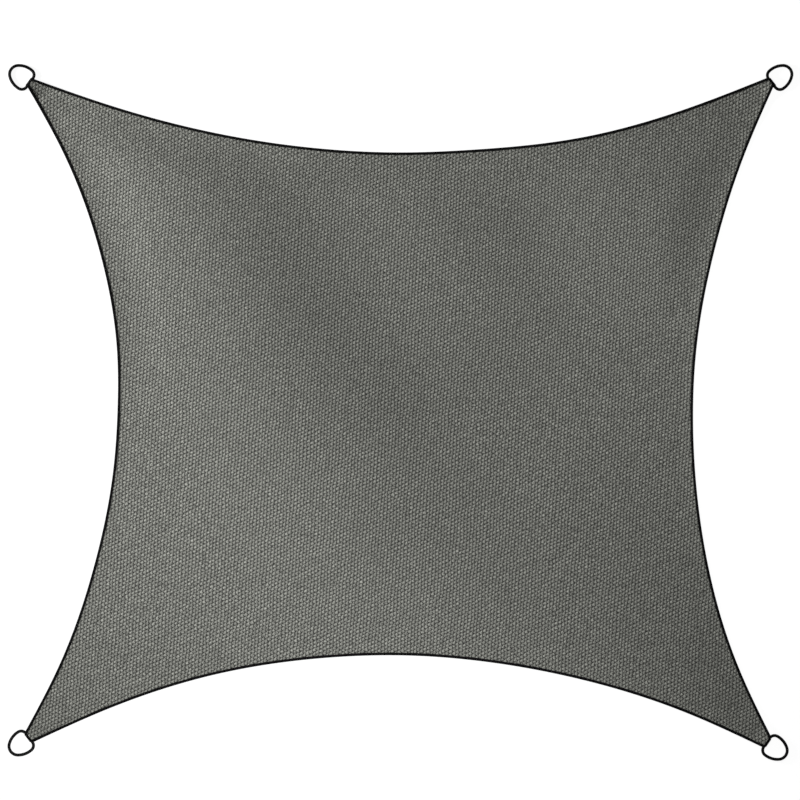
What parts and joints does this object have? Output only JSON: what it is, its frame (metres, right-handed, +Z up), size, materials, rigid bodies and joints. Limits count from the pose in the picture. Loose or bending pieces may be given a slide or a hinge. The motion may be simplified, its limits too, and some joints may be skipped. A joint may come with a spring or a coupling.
{
  "type": "shade sail",
  "caption": "Shade sail of grey woven cloth with hollow-cut edges bound in black tape and a black wire ring at each corner, laid out face up",
  "frame": {"origin": "under the middle of the whole sail, on the surface it lies on", "axes": "+X along the longer side, to the right in the picture; +Y towards the picture's top edge; +Z up, out of the cloth's face"},
  "size_m": [2.0741, 1.839, 0.0264],
  "materials": {
    "grey_woven_cloth": "matte open-textured woven cloth, speckled light and dark grey",
    "black_tape": "matte woven tape",
    "black_webbing": "matte woven webbing",
    "black_coated_steel": "smooth semi-gloss coating on round steel wire"
  },
  "bodies": {
    "root": {"sail_cloth": "grey_woven_cloth", "edge_binding_top": "black_tape", "edge_binding_right": "black_tape", "edge_binding_bottom": "black_tape", "edge_binding_left": "black_tape", "corner_loop_top_left": "black_webbing", "corner_loop_top_right": "black_webbing", "corner_loop_bottom_left": "black_webbing", "corner_loop_bottom_right": "black_webbing", "ring_top_left": "black_coated_steel", "ring_top_right": "black_coated_steel", "ring_bottom_left": "black_coated_steel", "ring_bottom_right": "black_coated_steel"}
  },
  "joints": []
}
